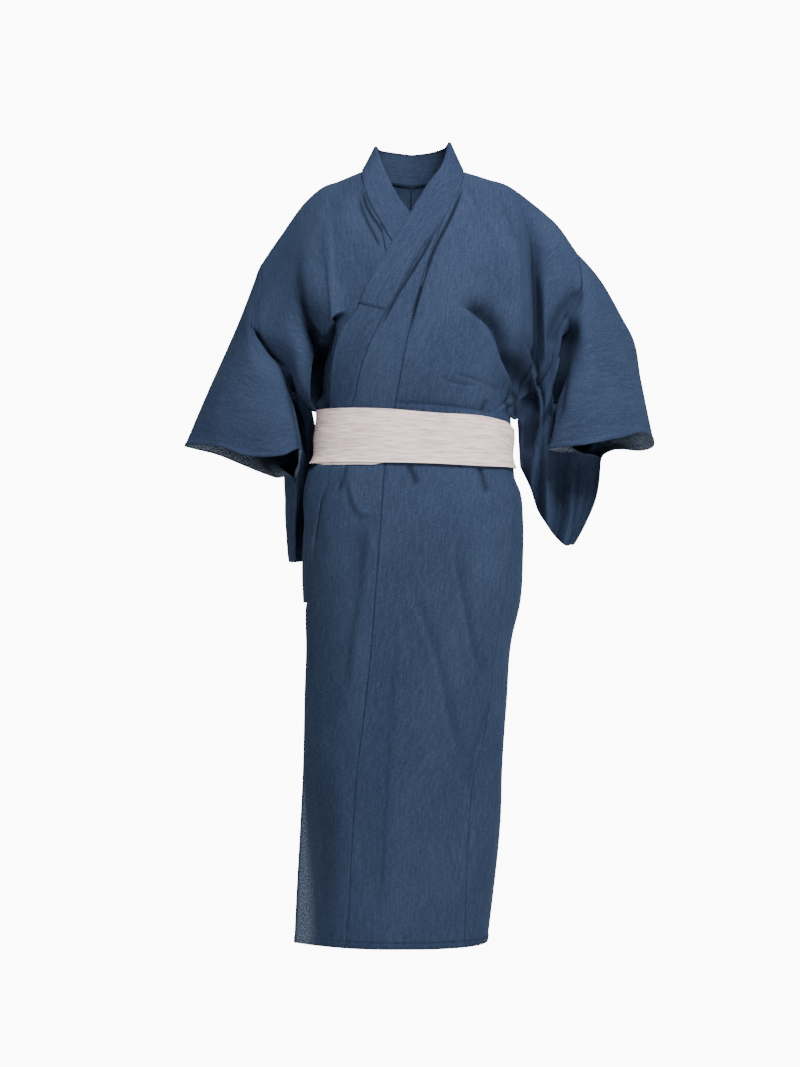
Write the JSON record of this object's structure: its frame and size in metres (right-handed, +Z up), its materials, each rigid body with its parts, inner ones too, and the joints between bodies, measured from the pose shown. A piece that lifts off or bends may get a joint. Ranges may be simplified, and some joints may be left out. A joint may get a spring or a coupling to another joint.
{
  "type": "yukata robe",
  "caption": "Straight-cut cotton robe as worn, wrapped left over right, with wide open sleeves, a folded collar band and a flat stiff sash knotted at the back; hollow.",
  "frame": {"origin": "middle of the neck base, at shoulder level: where the robe is held", "axes": "+X to the wearer's left, -Y to the front, +Z up"},
  "size_m": [0.8388, 0.2836, 1.4226],
  "materials": {
    "cotton": "matt crinkled cotton, indigo with a fine pale stripe along the warp",
    "sash": "stiff ribbed weave with slubs, pale beige"
  },
  "bodies": {
    "root": {"body_left": "cotton", "body_right": "cotton", "skirt_front_left": "cotton", "skirt_front_right": "cotton", "skirt_back_left": "cotton", "skirt_back_right": "cotton", "overlap_left": "cotton", "overlap_right": "cotton", "overlap_skirt_left": "cotton", "overlap_skirt_right": "cotton", "collar_left": "cotton", "collar_right": "cotton", "over_collar": "cotton", "sleeve_left": "cotton", "sleeve_right": "cotton", "obi_inner": "sash", "obi_outer": "sash", "knot_loop": "sash", "knot_end": "sash"}
  },
  "joints": []
}
